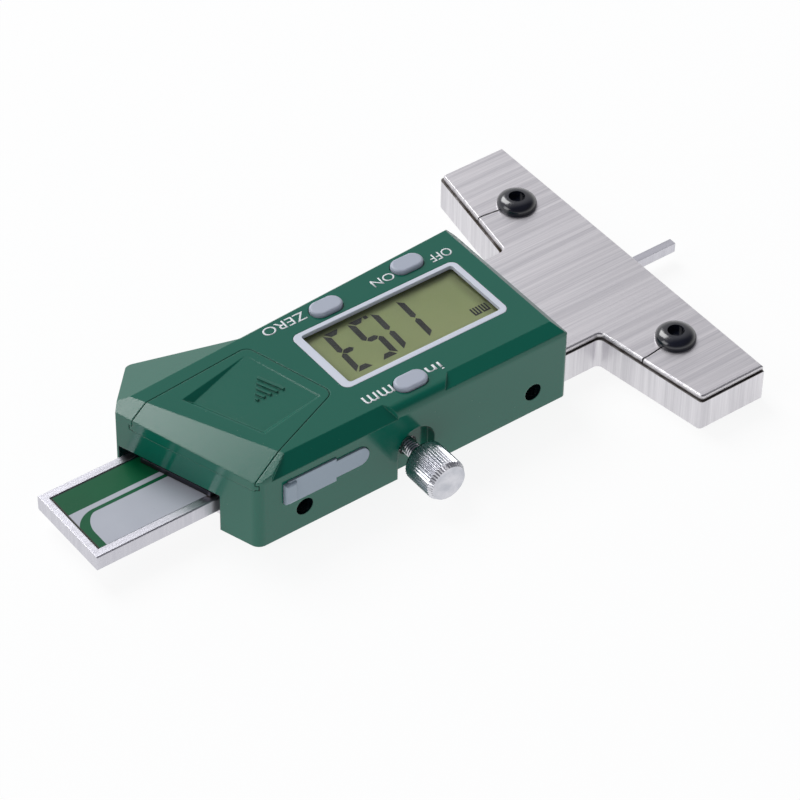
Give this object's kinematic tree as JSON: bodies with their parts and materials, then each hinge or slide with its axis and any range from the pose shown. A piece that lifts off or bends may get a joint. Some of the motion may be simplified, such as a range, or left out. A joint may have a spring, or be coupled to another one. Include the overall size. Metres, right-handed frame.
{
  "type": "digital depth gauge",
  "caption": "Digital depth gauge with a T-shaped steel base, a thin measuring blade on a sliding beam, an LCD module with keys and a knurled lock screw.",
  "frame": {"origin": "on the measuring face of the T base, in its middle along Y, at the level of the flat back", "axes": "+X the measuring direction the blade comes out in, +Z towards the display, z = 0 the flat back it lies on"},
  "size_m": [0.133, 0.0764, 0.0172],
  "materials": {
    "ground_steel": "fine brushed stainless",
    "beam_steel": "ground stainless",
    "bright_steel": "polished and knurled",
    "black_steel": "black oxide, glossy",
    "screw_steel": "plated",
    "green_shell": "gloss",
    "grey_key": "satin",
    "white_frame": "gloss",
    "clear_lens": "clear",
    "lcd_glass": "satin",
    "grey_rubber": "matt",
    "board": "solder resist",
    "black_resin": "matt",
    "brass_contact": "bright",
    "cell_steel": "satin",
    "scale_print": "printed film",
    "bronze_gib": "satin"
  },
  "bodies": {
    "gauge": {"base_frame": "ground_steel", "cover_plate": "ground_steel", "plate_screws": "black_steel", "gib_strip": "bronze_gib", "gib_screws": "black_steel", "housing": "green_shell", "housing_screws": "screw_steel", "battery_cell": "cell_steel", "contact_minus": "brass_contact", "contact_plus": "brass_contact", "display_frame": "white_frame", "display_lens": "clear_lens", "lcd_panel": "lcd_glass", "connector_strips": "grey_rubber", "circuit_board": "board", "sensor_board": "board", "controller_chip": "black_resin", "key_domes": "screw_steel", "port_contacts": "brass_contact"},
    "beam": {"beam": "beam_steel", "scale_strip": "board", "scale_label": "scale_print", "measuring_blade": "beam_steel", "blade_pins": "screw_steel"},
    "lock_screw": {"lock_screw": "bright_steel"},
    "battery_cover": {"battery_cover": "green_shell"},
    "port_cover": {"port_cover": "grey_rubber"},
    "power_button": {"power_button": "grey_key"},
    "zero_button": {"zero_button": "grey_key"},
    "unit_button": {"unit_button": "grey_key"}
  },
  "joints": [
    {"name": "beam_slide", "type": "slide", "parent": "gauge", "child": "beam", "axis": [1, 0, 0], "range_m": [-0.01153, 0.01347]},
    {"name": "lock_screw_turn", "type": "hinge", "parent": "gauge", "child": "lock_screw", "pos_m": [-0.0617, -0.02, 0.0047], "axis": [0, 1, 0], "range_deg": [0, 360]},
    {"name": "battery_cover_slide", "type": "slide", "parent": "gauge", "child": "battery_cover", "axis": [-0.9232, -0.3843, 0], "range_m": [0, 0.03]},
    {"name": "port_cover_bend", "type": "hinge", "parent": "gauge", "child": "port_cover", "pos_m": [-0.0717, -0.0176, 0.01], "axis": [0, 0, 1], "range_deg": [0, 90]},
    {"name": "power_button_press", "type": "slide", "parent": "gauge", "child": "power_button", "axis": [0, 0, -1], "range_m": [0, 0.00035], "stiffness_N_per_m": 3000},
    {"name": "zero_button_press", "type": "slide", "parent": "gauge", "child": "zero_button", "axis": [0, 0, -1], "range_m": [0, 0.00035], "stiffness_N_per_m": 3000},
    {"name": "unit_button_press", "type": "slide", "parent": "gauge", "child": "unit_button", "axis": [0, 0, -1], "range_m": [0, 0.00035], "stiffness_N_per_m": 3000}
  ]
}
